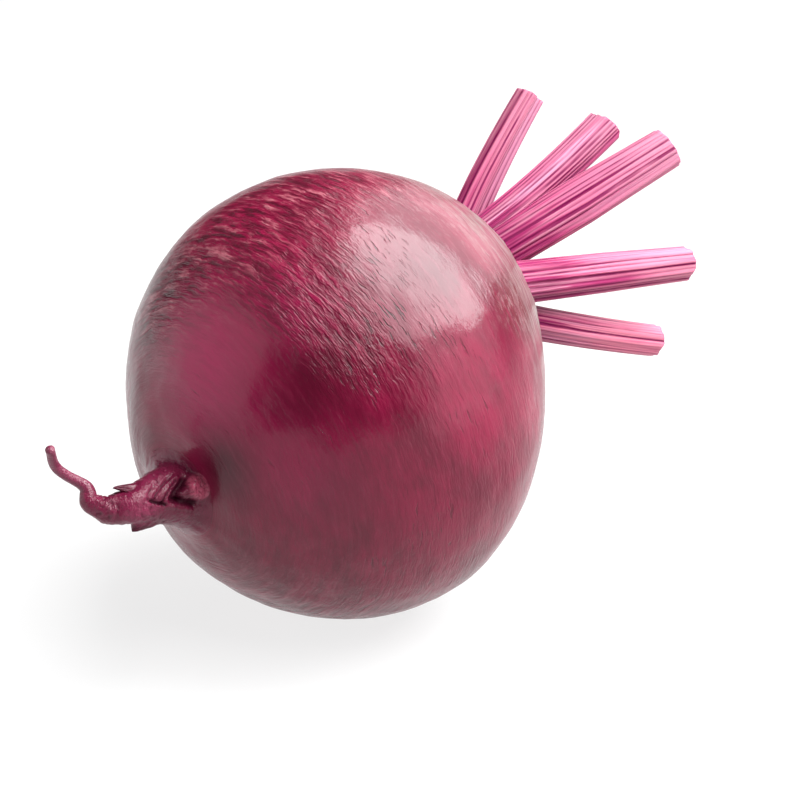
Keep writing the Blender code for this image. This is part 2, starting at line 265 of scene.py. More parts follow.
def curve_through(points, count):
    """count points, evenly spaced, on a smooth Catmull-Rom curve through the given ones, and its length."""
    given = np.array(points, float)
    padded = np.vstack([2 * given[0] - given[1], given, 2 * given[-1] - given[-2]])
    fine = []
    steps = np.linspace(0, 1, 40, endpoint=False)[:, None]
    for a, b, c, d in zip(padded, padded[1:], padded[2:], padded[3:]):
        line = 2 * b + (c - a) * steps + (2 * a - 5 * b + 4 * c - d) * steps**2
        fine.append(0.5 * (line + (3 * b - a - 3 * c + d) * steps**3))
    fine = np.vstack([*fine, given[-1:]])
    lengths = np.concatenate([[0.0], np.cumsum(np.linalg.norm(np.diff(fine, axis=0), axis=1))])
    places = np.linspace(0, lengths[-1], count)
    return np.column_stack([np.interp(places, lengths, fine[:, k]) for k in range(fine.shape[1])]), lengths[-1]


def frames_along(points, first_side):
    """At each point, the unit tangent and two sides that don't twist about it."""
    tangents = np.gradient(points, axis=0)
    tangents /= np.linalg.norm(tangents, axis=1)[:, None]
    side = np.array(first_side, float)
    frames = []
    for tangent in tangents:
        side = side - tangent * (side @ tangent)
        side /= np.linalg.norm(side)
        frames.append((tangent, side, np.cross(tangent, side)))
    return frames


def swollen(points):
    """Moves points of the plain body out or in by the slow swellings, which fade where the taproot starts."""
    facing = points / np.linalg.norm(points, axis=1)[:, None]
    share = np.zeros(len(points))
    for towards, amount in SWELLINGS:
        share += amount * np.exp(SWELLING_SHARPNESS * (facing @ np.array(towards) - 1))
    fade = np.clip((1 + facing[:, 2]) / 0.2, 0, 1)
    return points * (1 + share * fade**2 * (3 - 2 * fade))[:, None]


def scar_relief(x, y):
    """Height of the leaf scars at a place on the crown."""
    height = np.zeros_like(x)
    for k in range(SCAR_COUNT):
        ring = CROWN_RADIUS * 0.98 * math.sqrt((k + 0.6) / SCAR_COUNT)
        turn = k * GOLDEN_ANGLE
        radial = x * math.cos(turn) + y * math.sin(turn)
        across = -x * math.sin(turn) + y * math.cos(turn)
        half_width = SCAR_HALF_WIDTH * (0.35 + 0.65 * ring / CROWN_RADIUS)
        bend = ring - across**2 / (2 * max(ring, 3.0))
        crescent = np.exp(-(((radial - bend) / SCAR_THICKNESS) ** 2) - (across / half_width) ** 4)
        height = np.maximum(height, SCAR_HEIGHT * crescent)
    return height


def fractal(points, octaves=3, seed=0.0):
    """Smooth noise of about -1 to 1 at each point."""
    shift = Vector((seed * 17.3, seed * 5.1, seed * 29.7))
    values = [noise.fractal(Vector(p) + shift, 0.9, 2.1, octaves) for p in points.tolist()]
    return np.array(values)


def smoothstep(low, high, value):
    share = np.clip((value - low) / (high - low), 0, 1)
    return share * share * (3 - 2 * share)


def root_rings():
    """Rings of the plain root from the crown's middle to the taproot's tip, and the radius of each."""
    rings, radii = [], []
    turn = np.arange(BODY_SIDES) * 2 * math.pi / BODY_SIDES
    top = math.acos(CROWN_RADIUS / EQUATOR_RADIUS)
    bottom = -math.acos(FOOT_RADIUS / EQUATOR_RADIUS)
    shoulder_height = POLE_HEIGHT * math.sin(top)
    for share in np.linspace(0, 1, CROWN_RINGS + 1)[1:-1]:
        x, y = CROWN_RADIUS * share * np.cos(turn), CROWN_RADIUS * share * np.sin(turn)
        dome = shoulder_height + (CROWN_TOP - shoulder_height) * (1 - share**2)
        z = dome + scar_relief(x, y) * min(1.0, 3 * (1 - share))
        rings.append(swollen(np.column_stack([x, y, z])))
        radii.append(CROWN_RADIUS * share)
    for latitude in np.linspace(top, bottom, BODY_RINGS):
        radius = EQUATOR_RADIUS * math.cos(latitude)
        z = np.full(BODY_SIDES, POLE_HEIGHT * math.sin(latitude))
        rings.append(swollen(np.column_stack([radius * np.cos(turn), radius * np.sin(turn), z])))
        radii.append(radius)
    points, length = curve_through(TAPROOT_ROUTE, TAPROOT_RINGS)
    along = np.linspace(0, length, TAPROOT_RINGS)
    table = np.array(TAPROOT_RADII)
    smooth = np.interp(along, table[:, 0], table[:, 1])
    turn = np.arange(TAPROOT_SIDES) * 2 * math.pi / TAPROOT_SIDES
    for k, (_, side, other) in enumerate(frames_along(points, (1, 0, 0))):
        if along[k] < TAPROOT_START:
            continue
        flat = np.outer(np.cos(turn), side) - np.outer(np.sin(turn), other)
        rings.append(points[k] + smooth[k] * flat)
        radii.append(smooth[k])
    return rings, radii


def grid_mesh(rings, ends):
    """Vertices and faces of closed rings, joined in order, with a fan at each end."""
    vertices = np.vstack([ends[0], *rings, ends[1]])
    starts = np.cumsum([1] + [len(ring) for ring in rings])
    faces = []
    count = len(rings[0])
    faces += [(0, 1 + k, 1 + (k + 1) % count) for k in range(count)]
    for index, (upper, lower) in enumerate(zip(rings, rings[1:])):
        u, w = starts[index], starts[index + 1]
        n, m = len(upper), len(lower)
        if n == m:
            faces += [(u + k, w + k, w + (k + 1) % n, u + (k + 1) % n) for k in range(n)]
        else:
            for k in range(m):
                here, after = 2 * k, (2 * k + 2) % n
                faces.append((u + here, w + k, u + here + 1))
                faces.append((u + here + 1, w + k, w + (k + 1) % m))
                faces.append((u + here + 1, w + (k + 1) % m, u + after))
    count = len(rings[-1])
    last, tip = starts[-2], starts[-1]
    faces += [(tip, last + (k + 1) % count, last + k) for k in range(count)]
    return vertices, faces


def vertex_normals(vertices, faces):
    """Unit normals of the vertices, each from the faces round it."""
    normals = np.zeros_like(vertices)
    for size in (3, 4):
        picked = np.array([f for f in faces if len(f) == size])
        if len(picked):
            across = vertices[picked[:, -1]] - vertices[picked[:, 1]]
            up = vertices[picked[:, 2]] - vertices[picked[:, 0]]
            facing = np.cross(up, across)
            for corner in range(size):
                np.add.at(normals, picked[:, corner], facing)
    return normals / np.maximum(np.linalg.norm(normals, axis=1), 1e-12)[:, None]


def add_values(mesh, name, values):
    kind = "FLOAT" if values.ndim == 1 else "FLOAT_VECTOR"
    attribute = mesh.attributes.new(name, kind, "POINT")
    attribute.data.foreach_set("value" if kind == "FLOAT" else "vector", values.astype(np.float32).ravel())


def object_from(name, vertices, faces, material):
    mesh = bpy.data.meshes.new(name)
    mesh.from_pydata([tuple(p) for p in vertices], [], faces)
    mesh.update()
    mesh.shade_smooth()
    mesh.materials.append(material)
    obj = bpy.data.objects.new(name, mesh)
    bpy.context.scene.collection.objects.link(obj)
    return obj


def to_lines(points, line):
    """Distance of each point from a line of points, and how far along the line the nearest place is, 0 to 1."""
    best = np.full(len(points), 1e9)
    where = np.zeros(len(points))
    steps = len(line) - 1
    for k in range(steps):
        a, b = np.array(line[k]), np.array(line[k + 1])
        share = np.clip(((points - a) @ (b - a)) / ((b - a) @ (b - a)), 0, 1)
        gap = np.linalg.norm(points - (a + share[:, None] * (b - a)), axis=1)
        nearer = gap < best
        best[nearer] = gap[nearer]
        where[nearer] = (k + share[nearer]) / steps
    return best, where


# Creases at the base of the taproot: the line each follows, its depth, its width and how far its painted
# shade spreads, in widths. Those with a narrow painted shade have it broken up by noise in places.
CREASES = [
    (
        [(-5.5, -4.6, -38.9), (-5.2, -5.6, -41.0), (-4.9, -5.9, -42.2), (-4.1, -6.5, -43.7), (-2.7, -6.8, -41.9)],
        1.1,
        0.7,
        1.4,
    ),
    ([(-4.2, -6.4, -43.4), (-2.6, -6.7, -42.1), (-0.6, -6.9, -39.4)], 0.8, 0.55, 1.4),
    ([(-6.7, -3.6, -41.0), (-6.6, -4.6, -43.9), (-6.2, -5.4, -46.0), (-5.2, -5.8, -47.6)], 0.3, 0.25, 0.8),
    ([(-6.1, -4.6, -40.6), (-5.8, -5.6, -43.2), (-4.9, -6.0, -45.2), (-4.0, -6.4, -46.6)], 0.35, 0.25, 1.0),
    ([(-7.2, -3.4, -44.1), (-6.7, -4.7, -47.0), (-5.8, -5.5, -48.4)], 0.25, 0.25, 0.8),
    ([(-5.9, -5.3, -48.0), (-4.8, -6.1, -46.8), (-3.5, -6.3, -45.1)], 0.5, 0.3, 1.3),
]
NARROW_SHADE = 1.2
LIP_SHARE = 0.22
RING_SHADE = 0.55
TORN_SHADE = 0.5


def smoothed(vertices, faces, share, rounds):
    """Rounds the skin off where share is above 0, by moving each vertex towards the middle of its neighbours."""
    edges = set()
    for face in faces:
        if share[face[0]] > 0:
            for a, b in zip(face, (*face[1:], face[0])):
                edges.add((min(a, b), max(a, b)))
    edges = np.array(sorted(edges))
    a, b = np.concatenate([edges[:, 0], edges[:, 1]]), np.concatenate([edges[:, 1], edges[:, 0]])
    count = len(vertices)
    degree = np.maximum(np.bincount(a, minlength=count), 1)
    free = (share > 0) & (np.bincount(a, minlength=count) > 0)
    moved = vertices.copy()
    for _ in range(rounds):
        mean = np.column_stack([np.bincount(a, weights=moved[b, k], minlength=count) for k in range(3)])
        mean /= degree[:, None]
        moved[free] += FILLET_STEP * share[free, None] * (mean[free] - moved[free])
    return moved


# Where the skin is more or less wrinkled, and where it is tinted, with painted light and painted shade among the
# tints: each soft blob's middle, reach and amount
WRINKLED_PLACES = [
    ((-34.5, -14.5, -17.4), 8.0, 0.9),
    ((-30.8, -22.0, -17.0), 7.0, 0.9),
    ((-24.5, -29.0, -16.0), 7.0, 0.7),
    ((-39.0, -9.0, -10.0), 13.0, 0.6),
    ((-33.0, 5.0, -24.0), 12.0, 0.3),
    ((-21.0, -31.0, 19.0), 6.0, 1.0),
    ((-22.0, -9.2, -31.4), 14.0, -1.2),
    ((-33.6, -24.0, 6.0), 14.0, -0.5),
    ((20.0, 25.0, 5.0), 20.0, 0.3),
    ((-5.0, 38.0, -10.0), 16.0, 0.4),
    ((25.0, -20.0, -12.0), 16.0, 0.3),
]
TINTS = {
    # Painted shade: soft blobs where the red skin is darkened
    "painted_shade": [
        ((-22.0, -26.0, -22.5), 9.0, 0.9),
        ((-34.0, -14.0, -20.0), 6.0, 0.3),
        ((-36.0, -6.0, -22.0), 7.0, 0.3),
        ((-32.5, -25.0, 4.0), 14.0, 0.9),
        ((-39.0, -9.0, 10.0), 10.0, 0.3),
        ((-9.0, -13.0, -36.0), 6.5, 1.2),
    ],
    "salmon": [((-38.3, -11.7, 13.9), 10.0, 0.5), ((-41.5, 4.3, 6.0), 9.0, 0.3)],
    "brown": [((-20.0, -31.5, 18.0), 5.0, 1.1), ((-17.0, -31.5, 22.0), 4.5, 0.9)],
    "streaky": [
        ((-38.5, 3.0, -13.0), 12.0, 1.0),
        ((-41.7, 1.0, 2.0), 10.0, 0.9),
        ((-39.0, -5.0, 15.0), 10.0, 0.7),
        ((-29.0, 14.0, -25.0), 11.0, 0.8),
        ((10.0, 38.0, 5.0), 22.0, 0.7),
        ((30.0, -8.0, -20.0), 20.0, 0.6),
    ],
    "dashed": [
        ((-34.5, -21.5, -4.0), 6.0, 0.6),
        ((-28.0, -29.0, -8.0), 6.0, 1.0),
        ((-24.0, -34.0, -2.0), 7.0, 0.5),
    ],
    # Painted light: soft blobs where the red skin is brightened
    "painted_light": [
        ((-33.0, -19.0, -16.0), 8.0, 0.5),
        ((-26.0, -4.0, -30.0), 13.0, 1.0),
        ((-16.0, -8.0, -34.5), 9.0, 0.6),
        ((-10.0, -25.0, -30.0), 10.0, 0.5),
    ],
}
LEAST_WRINKLED = 0.06
MOST_BLOB = 1.3


def add_blobs(share, points, blobs):
    """The share at each point, raised or lowered by soft blobs."""
    for place, reach, amount in blobs:
        gap = np.linalg.norm(points - np.array(place), axis=1)
        share += amount * np.exp(-((gap / reach) ** 2))
    return share


def tint_map(points, blobs):
    """How strongly soft blobs tint each point."""
    return np.clip(add_blobs(np.zeros(len(points)), points, blobs), 0, MOST_BLOB)


def wrinkle_map(points):
    """How strongly the skin is wrinkled at each point."""
    share = 0.34 + 0.25 * fractal(points / 14.0, 2, 14.0)
    return np.clip(add_blobs(share, points, WRINKLED_PLACES), LEAST_WRINKLED, MOST_BLOB)


def ridged(points, octaves, seed):
    """Narrow crests about 0 to 1, with broad hollows between them."""
    return 1 - np.clip(np.abs(fractal(points, octaves, seed)) * 2.2, 0, 1)


def skin_grain(rings, radii):
    """Where each vertex is on the skin: its place round its ring, and its distance from the crown."""
    middles = np.array([ring.mean(axis=0) for ring in rings])
    steps = [0.0]
    for k in range(1, len(rings)):
        shift = np.linalg.norm(middles[k] - middles[k - 1])
        steps.append(steps[-1] + math.hypot(shift, radii[k] - radii[k - 1]))
    grain = [np.zeros((1, 3))]
    for ring, radius, distance in zip(rings, radii, steps):
        turn = np.arange(len(ring)) * 2 * math.pi / len(ring)
        grain.append(np.column_stack([radius * np.cos(turn), radius * np.sin(turn), np.full(len(ring), distance)]))
    grain.append(np.array([[0.0, 0.0, steps[-1] + 1.0]]))
    return np.vstack(grain), steps


def along_grain(grain, across, lengthwise):
    """The grain, scaled across and along the skin."""
    return np.column_stack([grain[:, :2] / across, grain[:, 2] / lengthwise])


def body_relief(vertices, grain, height, on_body, wrinkled):
    """Slow waves, wrinkles that run round the axis where the skin is wrinkled, and the corky crown's relief."""
    rise = WAVE_HEIGHT * fractal(vertices / 15.0, 3, 1.0) * on_body
    warp = np.column_stack([fractal(vertices / 4.0, 2, seed) for seed in (11.0, 12.0, 13.0)])
    lines = ridged(along_grain(grain, 5.0, 2.0) + warp * (0.35, 0.35, 0.55), 2, 2.0)
    wide = fractal(along_grain(grain, 11.0, 4.5) + warp * 0.3, 3, 3.0)
    rise += (WRINKLE_HEIGHT * (lines - 0.4) + FOLD_HEIGHT * wide) * wrinkled
    crown = smoothstep(CROWN_FROM, CROWN_TO, height)
    rise += CORK_GRAIN_HEIGHT * fractal(along_grain(grain, 4.0, 0.9), 4, 4.0) * crown
    rise += CORK_RIDGE_HEIGHT * (ridged(along_grain(grain, 7.0, 1.9), 3, 9.0) - 0.5) * crown
    return rise


def add_taproot_relief(rise, vertices, grain, along):
    """Adds creases round the taproot, slow bulges and lines along the thin end. Gives the creases' shade."""
    warp = 0.8 * fractal(vertices / 2.5, 2, 15.0)
    rings = ridged(np.column_stack([grain[:, :2] / 9.0, grain[:, 2] / 1.15 + warp]), 2, 5.0)
    thick = smoothstep(2.0, 6.0, along) * (1 - smoothstep(THIN_FROM, THIN_TO, along))
    rise -= BEND_RING_DEPTH * rings**3 * thick * smoothstep(BEND_FROM, BEND_TO, along)
    rise -= RING_DEPTH * rings**3 * thick
    bulges = BULGE_HEIGHT * fractal(vertices / 3.4, 3, 6.0) * smoothstep(0.0, 4.0, along)
    rise += bulges * (1 - smoothstep(THIN_FROM, THIN_TO, along))
    thin = smoothstep(THIN_FROM, THIN_TO, along)
    rise += THIN_LINE_HEIGHT * fractal(along_grain(grain, 1.2, 4.0), 3, 7.0) * thin
    return RING_SHADE * rings**4 * thick


def add_creases(rise, vertices):
    """Sinks the creases at the taproot's base, each with a soft lip beside it. Gives their shade."""
    crease_shade = np.zeros(len(vertices))
    shade_breakup = 0.72 + 0.45 * fractal(vertices / 0.9, 2, 16.0)
    for line, depth, width, shade in CREASES:
        gap, where = to_lines(vertices, line)
        ends = smoothstep(0.0, 0.12, where) * (1 - smoothstep(0.88, 1.0, where))
        rise -= depth * (np.exp(-((gap / width) ** 2)) * ends)
        rise += LIP_SHARE * depth * np.exp(-(((gap - 2.0 * width) / (0.8 * width)) ** 2)) * ends
        dark = np.exp(-((gap / (shade * width)) ** 2)) * ends
        crease_shade = np.maximum(crease_shade, dark * (shade_breakup if shade < NARROW_SHADE else 1.0))
    return crease_shade


def build_root(skin):
    rings, radii = root_rings()
    middle = np.array([[0.0, 0.0, CROWN_TOP]])
    middle[0, 2] += scar_relief(middle[:, 0], middle[:, 1])[0]
    tangent = np.array(TAPROOT_ROUTE[-1]) - np.array(TAPROOT_ROUTE[-2])
    tip = rings[-1].mean(axis=0) + tangent / np.linalg.norm(tangent) * TIP_REACH
    vertices, faces = grid_mesh(rings, (swollen(middle), tip[None]))

    # How far along the taproot each vertex is, 0 on the body
    grain, steps = skin_grain(rings, radii)
    body_rings = sum(1 for ring in rings if len(ring) == BODY_SIDES)
    foot = 1 + body_rings * BODY_SIDES
    past_foot = grain[:, 2] - steps[body_rings - 1]
    along = np.zeros(len(vertices))
    along[foot:] = past_foot[foot:]
    height = vertices[:, 2].copy()
    fillet = 1 - smoothstep(FILLET_FULL, FILLET_END, np.abs(past_foot))
    vertices = smoothed(vertices, faces, fillet, FILLET_ROUNDS)

    normals = vertex_normals(vertices, faces)
    on_body = 1 - smoothstep(0.0, 2.0, along)
    wrinkled = wrinkle_map(vertices) * on_body
    scar = scar_relief(vertices[:, 0], vertices[:, 1]) / SCAR_HEIGHT * smoothstep(SCARS_FROM, SCARS_TO, height)
    rise = body_relief(vertices, grain, height, on_body, wrinkled)
    ring_shade = add_taproot_relief(rise, vertices, grain, along)
    crease_shade = add_creases(rise, vertices)
    vertices = vertices + normals * rise[:, None]

    vertices, flesh, torn = pull_side_roots(vertices)
    # Painted shade in the creases, the taproot's rings and the pointed side roots, none on bare flesh
    crease_shade = np.maximum(np.maximum(crease_shade, ring_shade), TORN_SHADE * torn) * (1 - flesh)

    # Nothing reaches below the flat spot
    world = laid_down(vertices)
    world[:, 2] = np.maximum(world[:, 2], 0.0)
    obj = object_from("root_skin", world, faces, skin)
    mesh = obj.data
    add_values(mesh, "grain", grain * MM)
    add_values(mesh, "height", height * MM)
    add_values(mesh, "along", along * MM)
    add_values(mesh, "crease_shade", crease_shade)
    add_values(mesh, "flesh", flesh)
    add_values(mesh, "wrinkled", wrinkled)
    add_values(mesh, "scar", scar)
    for name, blobs in TINTS.items():
        add_values(mesh, name, tint_map(vertices, blobs))
    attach(obj, "root")
    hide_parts("root")


def pull_side_roots(vertices):
    """Draws the broken side roots out of the skin. Marks the bare flesh of the blunt ones, and the pointed ones."""
    flesh, torn = np.zeros(len(vertices)), np.zeros(len(vertices))
    points, length = curve_through(TAPROOT_ROUTE, TAPROOT_RINGS)
    along = np.linspace(0, length, TAPROOT_RINGS)
    frames = frames_along(points, (1, 0, 0))
    table = np.array(TAPROOT_RADII)
    for spec in SIDE_ROOTS:
        k = int(np.argmin(np.abs(along - spec["along"])))
        tangent, side, other = frames[k]
        turn, lean = math.radians(spec["side"]), math.radians(spec["lean"])
        out = math.cos(turn) * side - math.sin(turn) * other
        direction = out * math.cos(lean) + tangent * math.sin(lean)
        foot = points[k] + out * np.interp(spec["along"], table[:, 0], table[:, 1])
        gap = np.linalg.norm(vertices - foot, axis=1)
        reach = spec["radius"] * 1.35
        blunt = spec["end"] / spec["radius"]
        share = np.clip((1 - gap / reach) / (1 - 0.75 * blunt), 0, 1)
        lift = share**0.9 if blunt < 0.6 else smoothstep(0.0, 1.0, share)
        vertices = vertices + direction * (spec["length"] * lift)[:, None]
        flesh = np.maximum(flesh, smoothstep(0.35, 0.6, share) * smoothstep(0.6, 0.72, blunt))
        torn = np.maximum(torn, smoothstep(0.05, 0.4, share) * (1 - smoothstep(0.45, 0.6, blunt)))
    return vertices, flesh, torn


def stalk_middle(spec):
    """The stalk's middle line from its foot, sunk in the crown, to its cut end, and the way its outer side faces."""
    foot = np.array([*spec["foot"], 0.0])
    foot[2] = CROWN_TOP - (np.hypot(foot[0], foot[1]) / CROWN_RADIUS) ** 2 * CROWN_DROP
    foot = swollen(foot[None])[0]
    bend, tip = np.array(spec["bend"]), np.array(spec["tip"])
    t = np.linspace(0, 1, STALK_RINGS)[:, None]
    points = foot * (1 - t) ** 2 + 2 * bend * t * (1 - t) + tip * t**2
    start = points[0] - points[1]
    points[0] += start / np.linalg.norm(start) * STALK_SINK
    outward = np.array([*spec["foot"], 0.0])
    return points, outward / np.linalg.norm(outward)


def stalk_section(share, spec, grooves):
    """The outline across a stalk, a share of the way along it, with its narrow grooves cut in."""
    t = np.arange(STALK_SIDES) * 2 * math.pi / STALK_SIDES
    ridges = 1 + RIDGE_HEIGHT * np.cos(STALK_RIDGES * t) - grooves
    width = np.interp(share, (0.0, 0.5, 1.0), spec["width"])
    thickness = np.interp(share, (0.0, 1.0), spec["thickness"])
    across = width / 2 * np.cos(t) * ridges
    channel = CHANNEL_DEPTH * np.exp(-((np.cos(t) / CHANNEL_WIDTH) ** 2))
    full = np.sign(np.sin(t)) * np.abs(np.sin(t)) ** 0.85
    outside = np.where(full > 0, full, full * INNER_SHARE + channel)
    return across, thickness / (1 + INNER_SHARE) * outside * ridges


def cut_end(spec, across, out):
    """How far the cut end stands off the tip at places across the stalk: the lowest of the knife cuts."""
    heights = []
    for slope, way, stand in spec["cuts"]:
        towards = across * math.cos(math.radians(way)) + out * math.sin(math.radians(way))
        heights.append(stand - towards * math.tan(math.radians(slope)))
    return np.min(heights, axis=0)


def turned_by(t, place):
    """Signed angle from a place, in degrees."""
    return (t - place + 180) % 360 - 180


def groove_pattern(number, spec, share):
    """Narrow grooves that run the length of a stalk, each at its own place, wandering a little."""
    t = np.arange(STALK_SIDES) * 360 / STALK_SIDES
    deep = np.zeros(STALK_SIDES)
    named = [place for place, _, _ in spec["grooves"]]
    count, apart, width, strength = PLAIN_GROOVES
    plain = [(k * apart + number * 5, width, strength) for k in range(count)]
    plain = [groove for groove in plain if min(abs(turned_by(groove[0], p)) for p in named) > PLAIN_CLEARANCE]
    count, apart, width, strength = HAIRLINES
    hairs = [(k * apart + number * 3, width, strength) for k in range(count)]
    for k, (place, width, strength) in enumerate(spec["grooves"] + plain + hairs):
        wander = 3.0 * noise.noise(Vector((k * 3.1, number * 7.7, share * 2.2)))
        strength *= 0.85 + 0.35 * noise.noise(Vector((k * 1.7, number * 4.3, share * 3.0 + 9)))
        strength *= 1.55 - 0.75 * share
        deep = np.maximum(deep, strength * np.exp(-((turned_by(t, place + wander) / width) ** 2)))
    return deep


def tone_pattern(spec, share):
    """Broad paler bands, painted highlight and painted light (above 0), and darker bands (below 0) along a stalk."""
    t = np.arange(STALK_SIDES) * 360 / STALK_SIDES
    tone = np.zeros(STALK_SIDES)
    for place, width, amount, start, stop in spec["bands"]:
        fade = smoothstep(start, start + BAND_FADE, share) * (1 - smoothstep(stop - BAND_FADE, stop, share))
        tone += amount * fade * np.exp(-((turned_by(t, place) / width) ** 2))
    return tone


def build_stalk(number, spec, skin):
    points, outward = stalk_middle(spec)
    frames = frames_along(points, outward)
    length = np.concatenate([[0.0], np.cumsum(np.linalg.norm(np.diff(points, axis=0), axis=1))])
    turn = np.arange(STALK_SIDES) * 2 * math.pi / STALK_SIDES
    rings = []
    closing = {"along": 1.0, "groove": 0.0, "tone": 0.0, "cut": 1.0, "flush_and_light": 0.0}
    values = {name: [[0.0]] for name in closing}
    start = number * FIBRE_SHIFT
    fibre = [np.array([[start, 0.0, 0.0]])]

    def record(share, deep, tone, cut, inner, reach):
        values["along"].append(np.full(STALK_SIDES, share))
        values["groove"].append(deep)
        values["tone"].append(tone)
        values["cut"].append(np.full(STALK_SIDES, cut))
        values["flush_and_light"].append(np.full(STALK_SIDES, spec["flush_and_light"]))
        width = FIBRE_RADIUS * inner
        x, y = width * np.cos(turn) + start, width * np.sin(turn)
        fibre.append(np.column_stack([x, y, np.full(STALK_SIDES, reach)]))

    for k in range(STALK_RINGS - 1):
        _, side, other = frames[k]
        share = k / (STALK_RINGS - 1)
        deep = groove_pattern(number, spec, share)
        across, out = stalk_section(share, spec, GROOVE_CUT * deep)
        rings.append(points[k] + np.outer(across, other) + np.outer(out, side))
        record(share, deep, tone_pattern(spec, share), 0.0, 1.0, length[k])
    tangent, side, other = frames[-1]
    deep = groove_pattern(number, spec, 1.0)
    across, out = stalk_section(1.0, spec, GROOVE_CUT * deep)
    for inner in END_SHARES:
        on_face = 0.0 if inner == 1.0 else 1.0
        stand = cut_end(spec, across * inner, out * inner) - RIM_DROP * (1 - on_face)
        flat = np.outer(across * inner, other) + np.outer(out * inner, side)
        place = np.column_stack([across * inner, out * inner, np.full(STALK_SIDES, number * 5.0)])
        rough = fractal(place * 1.2, 3, 8.0)
        rings.append(points[-1] + flat + np.outer(stand + CUT_ROUGHNESS * on_face * rough, tangent))
        record(1.0, deep * (1 - on_face), tone_pattern(spec, 1.0) * (1 - on_face), on_face, inner, length[-1])
    ends = (points[0][None], (points[-1] + tangent * float(cut_end(spec, 0.0, 0.0)))[None])
    vertices, faces = grid_mesh(rings, ends)
    faces = [face[::-1] for face in faces]
    obj = object_from(f"stalk_{number}", laid_down(vertices), faces, skin)
    obj.data.set_sharp_from_angle(angle=RIM_ANGLE)
    for name, parts in values.items():
        add_values(obj.data, name, np.concatenate([*parts, [closing[name]]]))
    fibre.append(np.array([[start, 0.0, length[-1]]]))
    add_values(obj.data, "fibre", np.vstack(fibre) * MM)
    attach(obj, "root")
    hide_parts(f"leaf_stalk_{number}")


class Nodes:
    """A short way to write a material's node tree."""

    def __init__(self, name):
        self.material = bpy.data.materials.new(name)
        self.material.use_nodes = True
        self.tree = self.material.node_tree
        self.shader = self.tree.nodes["Principled BSDF"]

    def add(self, kind, inputs=None, **settings):
        node = self.tree.nodes.new(kind)
        for key, value in settings.items():
            setattr(node, key, value)
        for key, value in (inputs or {}).items():
            if isinstance(value, bpy.types.NodeSocket):
                self.tree.links.new(value, node.inputs[key])
            else:
                node.inputs[key].default_value = value
        return node

    def value(self, name):
        return self.add("ShaderNodeAttribute", attribute_name=name).outputs["Fac"]

    def vector(self, name):
        return self.add("ShaderNodeAttribute", attribute_name=name).outputs["Vector"]

    def noise(self, vector, scale, detail=3.0, roughness=0.55):
        inputs = {"Vector": vector, "Scale": scale, "Detail": detail, "Roughness": roughness}
        return self.add("ShaderNodeTexNoise", inputs).outputs["Fac"]

    def stretch(self, vector, scale):
        return self.add("ShaderNodeVectorMath", {0: vector, 1: scale}, operation="MULTIPLY").outputs["Vector"]

    def ramp(self, value, low, high, start=0.0, end=1.0):
        """A smooth step from start to end as the value goes from low to high, which may be the smaller."""
        inputs = {"Value": value, "From Min": low, "From Max": high, "To Min": start, "To Max": end}
        node = self.add("ShaderNodeMapRange", inputs, interpolation_type="SMOOTHSTEP")
        return node.outputs["Result"]

    def warped(self, vector, scale, amount):
        """The vector pushed about by noise, by up to about half the amount."""
        push = self.add("ShaderNodeTexNoise", {"Vector": vector, "Scale": scale, "Detail": 2.0}).outputs["Color"]
        push = self.add("ShaderNodeVectorMath", {0: push, 1: (0.5, 0.5, 0.5)}, operation="SUBTRACT").outputs["Vector"]
        push = self.stretch(push, (amount, amount, amount))
        return self.add("ShaderNodeVectorMath", {0: vector, 1: push}, operation="ADD").outputs["Vector"]

    def math(self, operation, a, b):
        return self.add("ShaderNodeMath", {0: a, 1: b}, operation=operation).outputs["Value"]

    def times(self, a, b):
        return self.math("MULTIPLY", a, b)

    def plus(self, a, b):
        return self.math("ADD", a, b)

    def minus(self, a, b):
        return self.math("SUBTRACT", a, b)

    def mix(self, share, a, b):
        node = self.add("ShaderNodeMix", data_type="RGBA")
        for socket, value in ((node.inputs[0], share), (node.inputs[6], a), (node.inputs[7], b)):
            if isinstance(value, bpy.types.NodeSocket):
                self.tree.links.new(value, socket)
            elif isinstance(value, tuple):
                socket.default_value = (*value, 1.0)
            else:
                socket.default_value = value
        return node.outputs[2]

    def bump(self, height, strength, distance, normal=None):
        inputs = {"Height": height, "Strength": strength, "Distance": distance}
        if normal is not None:
            inputs["Normal"] = normal
        return self.add("ShaderNodeBump", inputs).outputs["Normal"]

    def link(self, value, name):
        self.tree.links.new(value, self.shader.inputs[name])

    def fix(self, constants):
        """Sets constants directly on the shader's sockets."""
        for name, value in constants.items():
            self.shader.inputs[name].default_value = value


# Colours
SKIN_DEEP = (0.100, 0.0007, 0.016)
SKIN_RED = (0.165, 0.0016, 0.027)
# Painted light: a brighter red
SKIN_PAINTED_LIGHT = (0.245, 0.0012, 0.050)
# Dark red for the skin's darker streaks, and for painted shade
SKIN_DARK_AND_PAINTED_SHADE = (0.044, 0.0005, 0.0075)
SKIN_STREAK = (0.165, 0.010, 0.040)
# Painted highlight: pale pink glints on the streaks
SKIN_PAINTED_GLINT = (0.30, 0.085, 0.110)
SKIN_SALMON = (0.122, 0.012, 0.028)
SKIN_FLECK = (0.180, 0.100, 0.106)
SKIN_BROWN = (0.075, 0.003, 0.010)
SKIN_DASH = (0.022, 0.0006, 0.004)
CORK_TAN = (0.150, 0.122, 0.114)
CORK_BROWN = (0.070, 0.020, 0.020)
CORK_SCAR = (0.16, 0.070, 0.060)
TAPROOT_DARK = (0.085, 0.002, 0.018)
TAPROOT_PALE = (0.150, 0.011, 0.042)
TAPROOT_THIN = (0.17, 0.032, 0.065)
# Painted shade in creases
PAINTED_CREASE_SHADE = (0.020, 0.0005, 0.005)
FLESH_PINK = (0.30, 0.045, 0.088)
STALK_PINK = (0.385, 0.135, 0.205)
STALK_MAGENTA = (0.325, 0.046, 0.130)
